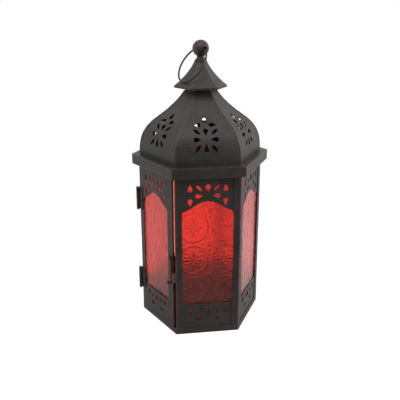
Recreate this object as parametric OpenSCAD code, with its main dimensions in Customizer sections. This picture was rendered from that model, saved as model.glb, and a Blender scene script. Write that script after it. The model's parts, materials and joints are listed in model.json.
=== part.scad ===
// Six-sided pierced metal candle lantern with pressed glass panes, a side door with a swing
// latch, a pierced dome, a vented cap and a loose hanging ring.
// Millimetres, +Z up, origin in the middle of the underside of the base.
// The front side faces -Y. Sides are numbered anticlockwise from it, and the door is side 5.

/* [Body] */
// Width of one side of the six-sided body, which is also its corner radius
side_w = 66; // [62:0.5:74]
// Height from the table to the underside of the roof plate
body_h = 182.7; // [165:0.1:215]
// Thickness of the sheet metal of frame, door and roof
sheet_t = 0.8; // [0.6:0.1:1]
// Thickness of the pierced panels behind the frame
panel_t = 0.6; // [0.5:0.1:0.8]
// Visible width of a corner post on each side
post_leg = 7; // [6:0.5:9]
// Width of the folded-in second layer of a corner post
post_lap = 4; // [3.5:0.5:5]
// Height of the rim round the base
base_rim_h = 6.4; // [5:0.2:9]
// Height of the rail round the top of the body
top_rail_h = 11.7; // [11:0.1:14]
// How far a panel reaches behind the rim and the rail
panel_lap = 4; // [2:0.5:4.5]

/* [Windows] */
// Height of the window sill above the table
sill_z = 34; // [30:1:44]
// Distance from the top rail down to where the arch of a window begins
arch_in = 35; // [33:1:50]
// Rise of the arch above that height
arch_rise = 11.5; // [8:0.5:13]
// Distance between the columns of the pierced pattern
motif_pitch = 8.8; // [8:0.2:9.4]
// Length of a pierced drop
drop_l = 7.8; // [6:0.2:8.4]
// Width of a pierced drop
drop_w = 5; // [4:0.2:5.6]
// Length of a pierced lens
lens_l = 8.4; // [7:0.2:9]
// Width of a pierced lens
lens_w = 2.8; // [2:0.2:3.4]
// Size of a hole in the dome against one in a window
dome_grow = 1.12; // [0.9:0.02:1.16]
// Distance from the middle of each gore to the middle of its pattern
rosette_off = 1.2; // [0:0.1:2]

/* [Glass] */
// Thickness of the glass panes
glass_t = 2; // [1.6:0.2:2.6]
// Clearance round a pane
glass_gap = 0.1; // [0.05:0.05:0.2]
// Width of the tongue that is bent over a pane
tongue_w = 8; // [6:1:12]
// Reach of that tongue over the pane
tongue_reach = 3.4; // [2.5:0.1:4]

/* [Door] */
// Gap above and below the door
door_gap = 0.6; // [0.4:0.1:1]
// Distance from the hinge corner to the edge of the door
door_hinge_gap = 0.4; // [0.4:0.1:0.6]
// Distance from the latch corner to the edge of the door
door_latch_gap = 4.6; // [4.4:0.1:5.4]
// Width of the tab of the post that carries the keeper
latch_return = 1.5; // [1.2:0.1:1.6]
// Width of the door's stile on the latch side
latch_stile = 9; // [8.6:0.1:11]
// Depth of the edge folded in round the door
door_flange = 4; // [3.8:0.1:4.4]
// Depth of the folded edge of the stile beside the latch, low so that the gap stays open to view
stile_flange = 1.4; // [1.2:0.1:3.8]
// Clearance between the door and its stop
stop_gap = 0.35; // [0.3:0.05:0.6]

/* [Hinges] */
// Height of a hinge
hinge_h = 24; // [18:1:30]
// Diameter of the hinge knuckles
knuckle_d = 3.5; // [3.2:0.1:3.6]
// Diameter of the hinge pin
pin_d = 1.8; // [1.4:0.1:2]
// Distance of the hinge axis outside the corner of the body
hinge_out = 2.15; // [2.1:0.05:2.3]
// Length of a hinge leaf
leaf_l = 5.8; // [5:0.2:7]
// Thickness of a hinge leaf
leaf_t = 0.8; // [0.6:0.05:0.8]
// Distance from the top of the door to the middle of the upper hinge
upper_hinge_in = 36.4; // [25:0.2:45]
// Distance from the bottom of the door to the middle of the lower hinge
lower_hinge_in = 32.5; // [25:0.5:45]
// Radial running clearance of the pins
pin_fit = 0.05; // [0.03:0.01:0.08]

/* [Latch] */
// Height of the latch pivot
latch_z = 85; // [75:1:120]
// Length of the latch lever below its pivot
latch_l = 27.5; // [26:0.5:32]
// Width of the latch lever
latch_w = 4.6; // [4:0.1:5]
// Thickness of the latch lever
latch_t = 1; // [0.8:0.1:1.2]
// Clearance on each face of the lever
latch_gap = 0.3; // [0.25:0.05:0.4]
// Diameter of the latch rivet
rivet_d = 2.4; // [2:0.1:2.6]
// Height of the keeper
keeper_h = 10; // [7:0.5:11]
// Reach of the keeper's lip over the gap beside the door
keeper_reach = 3.5; // [3:0.1:3.6]
// Thickness of the keeper's lip
keeper_t = 0.8; // [0.6:0.1:1]

/* [Roof] */
// Overhang of the roof skirt past the corners of the body
skirt_out = 7; // [5:0.5:14]
// Height of the roof skirt
skirt_h = 10.5; // [8:0.5:14]
// Distance of the dome's foot inside the corners of the body
dome_in = 1.7; // [1:0.1:5]
// Height of the dome
dome_h = 66.5; // [62:0.5:75]
// Corner radius of the dome at its top
dome_neck = 16.3; // [15.3:0.1:18]
// Height of the vent between the dome and the brim of the cap
vent_h = 2.2; // [2:0.1:8]
// Diameter of the vent holes in the plate on top of the dome
vent_d = 4.6; // [3.6:0.2:5]

/* [Cap] */
// Corner radius of the cap at its brim
cap_side = 27.8; // [24:0.1:29]
// Height of the cap
cap_h = 25.8; // [23:0.2:29]
// Corner radius of the cap at its top
cap_top = 6.8; // [6.5:0.1:7.5]
// Height of the upright rim round the cap
cap_rim = 1.8; // [1.2:0.2:3]
// Thickness of the solid tip of the cap
cap_plug = 3; // [2.4:0.2:4]

/* [Finial and ring] */
// Diameter of the finial's ball
ball_d = 17; // [15:0.5:19]
// Height of the neck, from the cap to the middle of the ball
neck_h = 13.5; // [12.5:0.5:16]
// Diameter of the neck at its narrowest
neck_d = 7.6; // [6.6:0.2:8.6]
// Diameter of the hanging ring, measured on the middle of its wire
ring_d = 39.6; // [36:0.2:44]
// Diameter of the ring's wire
wire_d = 1.9; // [1.6:0.1:2.2]
// Least clearance between the ring and the bore or the cap
ring_gap = 0.3; // [0.25:0.05:0.4]
// Direction of the ring's bore through the ball, in degrees from +X
ring_turn = -64; // [-90:1:-40]

/* [Fixings] */
// Diameter of the finial's stud
stud_d = 4; // [3.4:0.2:4.4]
// Outer diameter of the spacer tube between dome and cap
spacer_d = 6.6; // [6.2:0.2:7.4]
// Outer diameter of the washer
washer_d = 10; // [9:0.5:11]
// Thickness of the washer
washer_t = 0.8; // [0.6:0.1:1.2]
// Width of the nut across its flats
nut_w = 7; // [6.5:0.1:8]
// Thickness of the nut
nut_t = 3.2; // [2.4:0.2:4]

/* [Candle dish] */
// Diameter of the candle dish
dish_d = 50; // [44:1:60]
// Height of the dish's wall
dish_h = 7; // [5:0.5:12]
// Thickness of the dish
dish_t = 0.6; // [0.5:0.1:1]

/* [Hidden] */
$fn = 64;

// Colours of the finishes
metal_c = "#2b2825";
glass_c = "#e0382c";
wire_c = "#33302d";

// How far a cut runs past what it cuts
over = 1;
side_d = flat_of(side_w);
half_side = side_w / 2;
half_window = half_side - post_leg;
half_panel = half_side - post_lap - glass_gap;
rail_z = body_h - top_rail_h;
spring_z = rail_z - arch_in;
skirt_side = side_w + skirt_out;
dome_side = side_w - dome_in;
plate_z = body_h + sheet_t;
dome_z = plate_z;
dome_top_z = dome_z + dome_h;
top_plate_z = dome_top_z + sheet_t;
cap_z = dome_top_z + vent_h;
cap_tip_z = cap_z + cap_h;
cap_roof_z = cap_tip_z - cap_plug;
ball_z = cap_tip_z + neck_h;

// Panels, panes and the tongues that hold them
panel_z = base_rim_h - panel_lap;
panel_top_z = rail_z + panel_lap;
pane_in = sheet_t + panel_t + glass_gap;
lip_in = pane_in + glass_t + glass_gap;
tongue_shares = [0.2, 0.78];

// Door
door_x1 = -half_side + door_hinge_gap;
door_x2 = half_side - door_latch_gap;
door_z1 = base_rim_h + door_gap;
door_z2 = rail_z - door_gap;
door_window_x1 = -half_window;
door_window_x2 = door_x2 - latch_stile;
lever_in_share = 0.47;
tail_share = 0.75;
latch_x = door_x2 - lever_in_share * latch_stile;
door_pane_in = sheet_t + glass_gap;
door_lip_in = door_pane_in + glass_t + glass_gap;
door_tongue_x1 = door_window_x1 - post_lap;
door_tongue_x2 = latch_x - tail_share * rivet_d + panel_t;
door_stop_h = 2 * base_rim_h;

// Hinges
hinge_zs = [door_z1 + lower_hinge_in, door_z2 - upper_hinge_in];
knuckle_play = 0.25;
knuckle_share = 0.3;
leaf_clear = 0.8;
relief_share = 0.65;

// Latch
lever_eye = latch_w / 2 + 0.08 * latch_w;
head_t = 0.8;
tab_l = 3;
keeper_top_z = latch_z - latch_l / 2;
slot_l = 4.6;
slot_w = 1;
slot_z = latch_z + latch_l * 0.4;
keeper_out = 2 * latch_gap + latch_t + keeper_t;

// Finial and ring
ring_r = ring_d / 2;
ring_sag = (ring_r - sqrt(pow(ring_r, 2) - pow(ball_d / 2, 2))) / 2;
bore_d = wire_d + 2 * ring_sag + 2 * ring_gap;
ring_drop = ring_r - ring_sag;

// Geometry of a hexagon, and of profiles
function flat_of(r) = r * cos(30);
function corner_of(d) = d / cos(30);
function bezier(p, n) = [for (i = [0 : n]) let (t = i / n, u = 1 - t)
    u * u * u * p[0] + 3 * u * u * t * p[1] + 3 * u * t * t * p[2] + t * t * t * p[3]];
function run_to(path, i) = i == 0 ? 0 : run_to(path, i - 1) + norm(path[i] - path[i - 1]);
function side_of(path, i) = let (a = path[max(i - 1, 0)], b = path[min(i + 1, len(path) - 1)],
    d = (b - a) / norm(b - a)) [-d[1], d[0]];
function inside_of(path, t) = [for (i = [0 : len(path) - 1]) path[i] + t * side_of(path, i)];
function reversed(list) = [for (i = [len(list) - 1 : -1 : 0]) list[i]];

// Profile of the dome at the middle of a side, as distance from the axis and height
dome_low_shares = [[1, 0], [1.005, 0.3], [0.925, 0.436], [0.68, 0.6]];
dome_high_shares = [[0.68, 0.6], [0.523, 0.705], [0.345, 0.85]];
dome_low = [for (s = dome_low_shares) [flat_of(dome_side * s[0]), dome_h * s[1]]];
dome_high = concat([for (s = dome_high_shares) [flat_of(dome_side * s[0]), dome_h * s[1]]],
    [[flat_of(dome_neck), dome_h]]);
dome_path = concat(bezier(dome_low, 10), [for (i = [1 : 8]) bezier(dome_high, 8)[i]]);
dome_runs = [for (i = [0 : len(dome_path) - 1]) run_to(dome_path, i)];
dome_out = [for (i = [0 : len(dome_path) - 1]) [dome_runs[i], dome_path[i][0]]];
dome_up = [for (i = [0 : len(dome_path) - 1]) [dome_runs[i], dome_path[i][1]]];

// Profile of the cap at the middle of a side
cap_rise = cap_h - cap_rim;
cap_shares = [[1, 0], [0.735, 0.24], [0.426, 0.58]];
cap_curve = concat([for (s = cap_shares) [flat_of(cap_side * s[0]), cap_rim + cap_rise * s[1]]],
    [[flat_of(cap_top), cap_h]]);
cap_path = concat([[flat_of(cap_side), 0]], bezier(cap_curve, 8));
cap_flats = [for (p = cap_path) [p[1] + cap_z, p[0]]];

// Its hollow, as wide as the rim leaves it and no wider at the height where the roof begins
cap_hollow = concat([[cap_path[0][0] - sheet_t, -over], [cap_path[0][0] - sheet_t, cap_rim / 2]],
    [for (p = inside_of(bezier(cap_curve, 8), sheet_t)) if (p[0] < cap_path[0][0] - sheet_t
        && p[1] > cap_rim / 2) p]);

// Where the ring's wire lies when it leans by an angle, and how far it stands off the cap
function ring_point(lean, t) = let (y = -ring_drop + ring_r * cos(t), x = ring_r * sin(t))
    [x, y * sin(lean), ball_z + y * cos(lean)];
function off_cap(p) = let (q = [p[0] * cos(ring_turn) - p[1] * sin(ring_turn),
        p[0] * sin(ring_turn) + p[1] * cos(ring_turn)])
    max([for (k = [0 : 5]) q[0] * cos(60 * k + 30) + q[1] * sin(60 * k + 30)])
    - lookup(p[2], cap_flats);
function ring_clearance(lean) = min([for (t = [90 : 5 : 270]) let (p = ring_point(lean, t))
    p[2] < cap_tip_z ? off_cap(p) : ring_r]);
// The ring leans as steeply as it can without touching the cap
steps_of_lean = [20 : 0.5 : 85];
ring_lean = min([for (lean = steps_of_lean)
    if (ring_clearance(lean) > (wire_d / 2 + ring_gap) * sqrt(2)) lean]);

module hexagon(r) {
    circle(r = r, $fn = 6);
}

// Band of a hexagon between two depths, measured in from the sides of the body
module band(from, to) {
    difference() {
        hexagon(side_w - corner_of(from));
        hexagon(side_w - corner_of(to));
    }
}

module on_side(k) {
    rotate([0, 0, 60 * k]) translate([0, -side_d, 0]) children();
}

// Area of the side k between two places along it, down to a depth
module strip(k, x1, x2, depth) {
    rotate(60 * k) translate([x1, -side_d]) square([x2 - x1, depth]);
}

// Box that stands on a side: along it, into the body and up
module slab(x1, x2, y1, y2, z1, z2) {
    translate([x1, y1, z1]) cube([x2 - x1, y2 - y1, z2 - z1]);
}

// Frame: a pan at the bottom, six folded posts and a rail at the top

module base_pan() color(metal_c) {
    linear_extrude(sheet_t) hexagon(side_w);
    linear_extrude(base_rim_h) band(0, sheet_t);
    on_side(5)
        slab(-tongue_w, tongue_w, door_flange + stop_gap, door_flange + stop_gap + sheet_t,
            sheet_t, door_stop_h);
}

module post(a, reach_a, reach_b, lap_a, lap_b) color(metal_c) {
    b = a + 1;
    translate([0, 0, base_rim_h]) linear_extrude(rail_z - base_rim_h) intersection() {
        band(0, sheet_t);
        union() {
            if (reach_a[1] > 0)
                strip(a, half_side - reach_a[1], half_side - reach_a[0], 2 * sheet_t);
            if (reach_b[1] > 0)
                strip(b, reach_b[0] - half_side, reach_b[1] - half_side, 2 * sheet_t);
        }
    }
    translate([0, 0, sheet_t]) linear_extrude(body_h - sheet_t) intersection() {
        band(sheet_t, 2 * sheet_t);
        union() {
            if (lap_a[1] > 0)
                strip(a, half_side - lap_a[1], half_side - lap_a[0], 3 * sheet_t);
            if (lap_b[1] > 0)
                strip(b, lap_b[0] - half_side, lap_b[1] - half_side, 3 * sheet_t);
        }
    }
}

module full_post(a) {
    post(a, [0, post_leg], [0, post_leg], [0, post_lap], [0, post_lap]);
}

module hinge_post() {
    post(4, [hinge_out / 2, post_leg], [0, 0], [relief_share * post_lap, post_lap], [0, 0]);
}

// It is cut off flush with the corner, so that the gap beside the door stays open, but for the
// tab that carries the keeper. A short slot runs through its face to the lap behind.
module latch_post() color(metal_c) {
    difference() {
        post(5, [0, 0], [0, post_leg], [0, 0], [0, post_lap]);
        on_side(0)
            slab(slot_l / 5 - half_side, slot_l * 1.2 - half_side, -over, sheet_t + over,
                slot_z, slot_z + slot_w);
    }
    translate([0, 0, keeper_top_z - keeper_h - sheet_t])
        linear_extrude(keeper_h + 2 * sheet_t) intersection() {
            band(0, sheet_t);
            union() {
                strip(5, half_side - latch_return, half_side, 2 * sheet_t);
                strip(0, -half_side, latch_return - half_side, 2 * sheet_t);
            }
        }
}

module top_rail() color(metal_c)
    translate([0, 0, rail_z]) linear_extrude(top_rail_h) band(0, sheet_t);

// Pierced shapes

module drop(l, w) {
    polygon(concat([for (a = [15 : -26.25 : -195]) [w * cos(a), w - l + w * sin(a)] / 2],
        [[0, l / 2]]));
}

module lens(l, w) {
    n = 6;
    polygon(concat([for (i = [0 : n]) [w / 2 * (1 - pow(2 * i / n - 1, 2)), l * (i / n - 0.5)]],
        [for (i = [n - 1 : -1 : 1]) [-w / 2 * (1 - pow(2 * i / n - 1, 2)), l * (i / n - 0.5)]]));
}

// Row of five: drops at the middle and the ends, with a slanted lens between each two
module row_of_five(pitch, grow) {
    rotate(180) drop(drop_l * grow, drop_w * grow * 1.16);
    for (m = [-1, 1]) {
        translate([m * 2 * pitch, 0]) drop(drop_l * grow, drop_w * grow);
        translate([m * pitch, 0]) rotate(-45 * m) lens(lens_l * grow, lens_w * grow);
    }
}

// Two drops whose tips face each other
module row_of_two(pitch, grow) {
    for (m = [-1, 1])
        translate([m * pitch, 0]) rotate(90 * m) drop(drop_l * grow, drop_w * grow);
}

// Window with its arch, and the pattern above and below it
module window_cuts(x1, x2, pitch, grow) {
    w = x2 - x1;
    mid = (x1 + x2) / 2;
    arch_shares = [[0, 0], [0.2, 0.3], [0.31, 1], [0.5, 1]];
    half_arch = bezier([for (s = arch_shares) [w * s[0], arch_rise * s[1]]], 8);
    top = spring_z + arch_rise;
    polygon(concat([[x2, sill_z]], [[x1, sill_z]],
        [for (p = half_arch) [x1 + p[0], spring_z + p[1]]],
        [for (i = [len(half_arch) - 2 : -1 : 0])
            [x2 - half_arch[i][0], spring_z + half_arch[i][1]]]));
    translate([mid, top + 1.75 * drop_l]) row_of_five(pitch, grow);
    translate([mid, top + 0.68 * drop_l]) row_of_two(pitch, grow);
    translate([mid, sill_z - 0.95 * drop_l]) mirror([0, 1]) row_of_five(pitch, grow);
    translate([mid, sill_z - 2.2 * drop_l]) row_of_two(pitch, grow);
    for (m = [-1, 1])
        translate([mid + m * 2 * pitch, top - 0.16 * drop_l]) rotate(180)
            drop(drop_l * grow, drop_w * grow);
}

// Tongue that is bent up beside a pane and over its back; m is -1 on the left edge
module tongue(x, m, base_in, over_in, z) {
    x2 = x - m * panel_t;
    x3 = x - m * tongue_reach;
    slab(min(x, x2), max(x, x2), base_in, over_in + panel_t, z - tongue_w / 2, z + tongue_w / 2);
    slab(min(x, x3), max(x, x3), over_in, over_in + panel_t, z - tongue_w / 2, z + tongue_w / 2);
}

module panel(k) color(metal_c) on_side(k) {
    difference() {
        slab(-half_panel, half_panel, sheet_t, sheet_t + panel_t, panel_z, panel_top_z);
        translate([0, sheet_t + panel_t + over, 0]) rotate([90, 0, 0])
            linear_extrude(panel_t + 2 * over)
                window_cuts(-half_window, half_window, motif_pitch, 1);
    }
    for (m = [-1, 1], s = tongue_shares)
        tongue(m * half_panel, m, sheet_t, lip_in, panel_z + s * (panel_top_z - panel_z));
    slab(-tongue_w / 2, tongue_w / 2, sheet_t, lip_in, panel_z, panel_z + panel_t);
}

module glass(k) color(glass_c) on_side(k) {
    x = half_panel - panel_t - glass_gap;
    slab(-x, x, pane_in, pane_in + glass_t, panel_z + panel_t, panel_top_z);
}

// Door: one pressed sheet with folded edges, its pane, and the hinge leaf that it hangs on

module door_panel() color(metal_c) on_side(5) {
    grow = (door_window_x2 - door_window_x1) / (2 * half_window);
    difference() {
        slab(door_x1, door_x2, 0, sheet_t, door_z1, door_z2);
        translate([0, sheet_t + over, 0]) rotate([90, 0, 0])
            linear_extrude(sheet_t + 2 * over)
                window_cuts(door_window_x1, door_window_x2, motif_pitch * grow, grow);
        translate([latch_x, sheet_t + over, latch_z]) rotate([90, 0, 0])
            cylinder(d = rivet_d, h = sheet_t + 2 * over);
    }
    slab(door_x2 - sheet_t, door_x2, 0, stile_flange, door_z1, door_z2);
    slab(door_tongue_x1, door_x2, 0, door_flange, door_z1, door_z1 + sheet_t);
    slab(door_tongue_x1, door_x2, 0, door_flange, door_z2 - sheet_t, door_z2);
    for (s = tongue_shares) {
        z = door_z1 + s * (door_z2 - door_z1);
        tongue(door_tongue_x1, -1, sheet_t / 2, door_lip_in, z);
        tongue(door_tongue_x2, 1, sheet_t / 2, door_lip_in, z);
    }
}

module door_glass() color(glass_c) on_side(5)
    slab(door_tongue_x1 + panel_t + glass_gap, door_tongue_x2 - panel_t - glass_gap,
        door_pane_in, door_pane_in + glass_t,
        door_z1 + sheet_t + glass_gap, door_z2 - sheet_t - glass_gap);

// Hinges: the axis lies just outside the left corner

module at_hinge(i) {
    translate([-side_w - hinge_out, 0, hinge_zs[i] - hinge_h / 2]) children();
}

// Leaf on side k: a flat plate, and strips of it curled round the pin at the heights in runs;
// m is 1 where the hinge is at the right end of the side and -1 where it is at the left
module leaf(i, k, m, runs, bore) color(metal_c)
    rotate([0, 0, 60 * k]) translate([0, -side_d, hinge_zs[i] - hinge_h / 2]) {
        axis = [m * (half_side + hinge_out / 2), -flat_of(hinge_out)];
        x1 = m * (half_side - leaf_l);
        x2 = m * (half_side - leaf_clear);
        x3 = axis[0] - m * pin_d / 5;
        slab(min(x1, x2), max(x1, x2), -leaf_t, 0, 0, hinge_h);
        for (w = runs) translate([0, 0, w[0]]) linear_extrude(w[1] - w[0]) difference() {
            union() {
                translate(axis) rotate(-90) circle(d = knuckle_d);
                translate([min(x1, x3), -leaf_t]) square([abs(x3 - x1), leaf_t]);
            }
            translate(axis) rotate(-90) circle(d = bore);
        }
    }

module fixed_leaf(i) {
    e = knuckle_share * hinge_h;
    leaf(i, 4, 1, [[0, e], [hinge_h - e, hinge_h]], pin_d);
}

module door_leaf(i) {
    e = knuckle_share * hinge_h + knuckle_play;
    leaf(i, 5, -1, [[e, hinge_h - e]], pin_d + 2 * pin_fit);
}

module hinge_pin(i) color(metal_c) at_hinge(i) {
    cylinder(d = pin_d, h = hinge_h);
    for (z = [-head_t, hinge_h]) translate([0, 0, z]) cylinder(d = knuckle_d, h = head_t);
}

// Latch: a lever that hangs from a rivet on the door, and the keeper that it swings under

module on_latch(y) {
    on_side(5) translate([latch_x, y, latch_z]) rotate([90, 0, 0]) children();
}

module latch_lever() color(metal_c) {
    on_latch(-latch_gap) linear_extrude(latch_t) difference() {
        union() {
            circle(r = lever_eye);
            translate([-latch_w / 2, -latch_l]) square([latch_w, latch_l]);
        }
        circle(d = rivet_d + 2 * pin_fit);
    }
    on_side(5) translate([latch_x, -latch_gap, latch_z - latch_l])
        slab(-latch_w / 2, latch_w / 2, -latch_t - tab_l, 0, 0, latch_t);
}

module latch_rivet() color(metal_c) {
    on_latch(sheet_t) cylinder(d = rivet_d, h = sheet_t + 2 * latch_gap + latch_t);
    on_latch(sheet_t + head_t) cylinder(d = 1.4 * rivet_d, h = head_t);
    on_latch(0) cylinder(d = 1.5 * rivet_d, h = latch_gap - pin_fit);
    on_latch(-2 * latch_gap - latch_t) cylinder(d = 1.8 * rivet_d, h = head_t);
}

module latch_keeper() color(metal_c) on_side(5) {
    slab(half_side - latch_return, half_side, -keeper_out, 0, keeper_top_z - keeper_h,
        keeper_top_z);
    slab(half_side - keeper_reach, half_side, -keeper_out, keeper_t - keeper_out,
        keeper_top_z - keeper_h, keeper_top_z);
}

// Roof: a skirt over the body, six pierced gores, a vented plate and the cap

module roof_skirt() color(metal_c) {
    translate([0, 0, body_h]) linear_extrude(sheet_t) difference() {
        hexagon(skirt_side);
        hexagon(dome_side - corner_of(post_leg));
    }
    translate([0, 0, plate_z - skirt_h]) linear_extrude(skirt_h) difference() {
        hexagon(skirt_side);
        hexagon(skirt_side - corner_of(sheet_t));
    }
}

// Puts a flat shape on the dome's front, a distance up its curve and a distance along the side
module on_dome(x, up) {
    y = lookup(up, dome_out);
    z = lookup(up, dome_up);
    dy = lookup(up + sheet_t, dome_out) - lookup(up - sheet_t, dome_out);
    dz = lookup(up + sheet_t, dome_up) - lookup(up - sheet_t, dome_up);
    translate([x, -y, dome_z + z]) rotate([atan2(dz, -dy), 0, 0])
        translate([0, 0, -3 * sheet_t]) linear_extrude(6 * sheet_t) children();
}

// Rosette of eleven holes, its places in the pitch of the pierced pattern
module rosette() translate([-rosette_off, 0, 0]) {
    mid = 0.41 * dome_runs[len(dome_runs) - 1];
    p = motif_pitch;
    l = drop_l * dome_grow;
    w = 0.9 * drop_w * dome_grow;
    slit = [lens_l * dome_grow, 1.1 * lens_w * dome_grow];
    on_dome(0, mid + 1.8 * p) drop(l, w);
    on_dome(0, mid + 0.03 * p) rotate(180) drop(0.9 * l, w);
    on_dome(0, mid - 1.8 * p) drop(l, 0.9 * w);
    for (m = [-1, 1]) {
        on_dome(m * 0.87 * p, mid + 0.95 * p) rotate(-90 * m) drop(0.92 * l, w);
        on_dome(m * p, mid + 0.06 * p) rotate(-45 * m) lens(slit[0], slit[1]);
        on_dome(m * 0.95 * p, mid - 0.88 * p) rotate(90 * m) drop(0.92 * l, w);
        on_dome(m * 0.93 * p, mid - 1.87 * p) rotate(40 * m) lens(slit[0], slit[1]);
    }
}

module gore(k) color(metal_c) rotate([0, 0, 60 * k]) difference() {
    reach = skirt_side;
    intersection() {
        translate([-reach, 0, dome_z]) rotate([90, 0, 90]) linear_extrude(2 * reach)
            polygon([for (p = concat(dome_path, reversed(inside_of(dome_path, sheet_t))))
                [-p[0], min(max(p[1], 0), dome_h)]]);
        linear_extrude(dome_top_z + over)
            polygon([[0, 0], [-reach * tan(30), -reach], [reach * tan(30), -reach]]);
    }
    rosette();
}

module dome_top_plate() color(metal_c) translate([0, 0, dome_top_z]) difference() {
    linear_extrude(sheet_t) hexagon(dome_neck);
    translate([0, 0, -over]) {
        cylinder(d = stud_d, h = sheet_t + 2 * over);
        for (a = [0 : 60 : 300]) rotate([0, 0, a])
            translate([(dome_neck + washer_d / 2) / 2 - sheet_t, 0, 0])
                cylinder(d = vent_d, h = sheet_t + 2 * over);
    }
}

module spacer_tube() color(metal_c) translate([0, 0, top_plate_z]) difference() {
    cylinder(d = spacer_d, h = cap_roof_z - top_plate_z);
    translate([0, 0, -over]) cylinder(d = stud_d, h = cap_roof_z - top_plate_z + 2 * over);
}

// Solid with the same profile on all three pairs of sides
module six_sided(path) {
    intersection_for(k = [0 : 2]) rotate([0, 0, 60 * k]) translate([-cap_side, 0, 0])
        rotate([90, 0, 90]) linear_extrude(2 * cap_side)
            polygon(concat(path, [for (p = reversed(path)) [-p[0], p[1]]]));
}

module cap() color(metal_c) translate([0, 0, cap_z]) difference() {
    six_sided(cap_path);
    intersection() {
        translate([0, 0, -over]) cylinder(r = cap_side, h = cap_h - cap_plug + over);
        six_sided(cap_hollow);
    }
    cylinder(d = stud_d, h = cap_h + over);
}

// Finial with its stud, the parts that clamp it, and the ring

module finial() color(metal_c) difference() {
    union() {
        translate([0, 0, ball_z]) sphere(d = ball_d);
        neck_shares = [[1.5, 0], [1.06, 0.2], [1, 0.42], [1.06, 0.5]];
        translate([0, 0, cap_tip_z]) rotate_extrude()
            polygon(concat([[0, 0]],
                bezier([for (s = neck_shares) [neck_d / 2 * s[0], neck_h * s[1]]], 8),
                [[0, neck_h / 2]]));
        translate([0, 0, stud_z]) cylinder(d = stud_d, h = ball_z - stud_z);
    }
    translate([0, 0, ball_z]) rotate([0, 0, ring_turn]) rotate([0, 90, 0])
        cylinder(d = bore_d, h = ball_d + 2 * over, center = true);
}

washer_z = dome_top_z - washer_t;
nut_z = washer_z - nut_t;
stud_z = nut_z - over;

module finial_washer() color(metal_c) translate([0, 0, washer_z]) difference() {
    cylinder(d = washer_d, h = washer_t);
    translate([0, 0, -over]) cylinder(d = stud_d, h = washer_t + 2 * over);
}

module finial_nut() color(metal_c) translate([0, 0, nut_z]) difference() {
    cylinder(r = corner_of(nut_w / 2), h = nut_t, $fn = 6);
    translate([0, 0, -over]) cylinder(d = stud_d, h = nut_t + 2 * over);
}

module hanging_ring() color(wire_c)
    translate([0, 0, ball_z]) rotate([0, 0, ring_turn]) rotate([90 - ring_lean, 0, 0])
        translate([0, -ring_drop, 0]) rotate_extrude() translate([ring_r, 0]) circle(d = wire_d);

module candle_dish() color(metal_c) translate([0, 0, sheet_t]) rotate_extrude()
    polygon([[0, 0], [dish_d / 2, 0], [dish_d / 2, dish_h - dish_t],
        [dish_d / 2 + dish_t, dish_h - dish_t], [dish_d / 2 + dish_t, dish_h],
        [dish_d / 2 - dish_t, dish_h], [dish_d / 2 - dish_t, dish_t], [0, dish_t]]);

base_pan();
candle_dish();
latch_post();  // post_front_left
full_post(0);  // post_front_right
full_post(1);  // post_right
full_post(2);  // post_back_right
full_post(3);  // post_back_left
hinge_post();  // post_left
top_rail();
panel(0);  // panel_front
panel(1);  // panel_front_right
panel(2);  // panel_back_right
panel(3);  // panel_back
panel(4);  // panel_back_left
glass(0);  // glass_front
glass(1);  // glass_front_right
glass(2);  // glass_back_right
glass(3);  // glass_back
glass(4);  // glass_back_left
door_panel();
door_glass();
fixed_leaf(0);  // hinge_lower_fixed_leaf
door_leaf(0);  // hinge_lower_door_leaf
hinge_pin(0);  // hinge_lower_pin
fixed_leaf(1);  // hinge_upper_fixed_leaf
door_leaf(1);  // hinge_upper_door_leaf
hinge_pin(1);  // hinge_upper_pin
latch_lever();
latch_rivet();
latch_keeper();
roof_skirt();
gore(0);  // dome_gore_front
gore(1);  // dome_gore_front_right
gore(2);  // dome_gore_back_right
gore(3);  // dome_gore_back
gore(4);  // dome_gore_back_left
gore(5);  // dome_gore_front_left
dome_top_plate();
spacer_tube();
cap();
finial();
finial_washer();
finial_nut();
hanging_ring();
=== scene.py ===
import json
import math
from typing import NamedTuple

import bmesh
import bpy
import numpy as np
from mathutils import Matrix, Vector

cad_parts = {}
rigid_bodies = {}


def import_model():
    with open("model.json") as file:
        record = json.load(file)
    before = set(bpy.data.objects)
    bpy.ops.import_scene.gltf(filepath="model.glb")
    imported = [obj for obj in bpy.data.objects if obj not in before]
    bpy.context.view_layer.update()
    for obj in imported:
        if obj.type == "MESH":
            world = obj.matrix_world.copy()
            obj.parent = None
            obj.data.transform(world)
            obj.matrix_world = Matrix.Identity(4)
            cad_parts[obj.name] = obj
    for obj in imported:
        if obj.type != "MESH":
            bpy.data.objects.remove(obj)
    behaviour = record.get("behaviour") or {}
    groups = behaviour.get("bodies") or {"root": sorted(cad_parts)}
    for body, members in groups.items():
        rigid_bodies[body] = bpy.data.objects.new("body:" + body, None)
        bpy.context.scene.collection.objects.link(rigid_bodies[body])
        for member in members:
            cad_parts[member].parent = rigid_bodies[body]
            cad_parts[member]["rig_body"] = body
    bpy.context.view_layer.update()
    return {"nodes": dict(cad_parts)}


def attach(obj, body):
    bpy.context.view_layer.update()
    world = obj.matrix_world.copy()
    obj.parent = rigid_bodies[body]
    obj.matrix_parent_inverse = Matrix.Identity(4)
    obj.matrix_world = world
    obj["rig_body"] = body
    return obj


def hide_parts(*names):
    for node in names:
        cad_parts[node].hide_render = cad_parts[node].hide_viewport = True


bl_info = {
    "name": "Six-Sided Fanous Lantern",
    "version": (1, 0, 0),
    "blender": (4, 5, 0),
    "location": "View3D > Sidebar > Fanous",
    "description": "Dresses a pierced tin lantern with worn paint and pressed red glass",
    "category": "Add Mesh",
}

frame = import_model()


SIDES = 6
# Degrees from the middle of a side to its corner
HALF_SIDE = 180.0 / SIDES
BODY_OF = {node: obj["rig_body"] for node, obj in frame["nodes"].items()}
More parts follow.
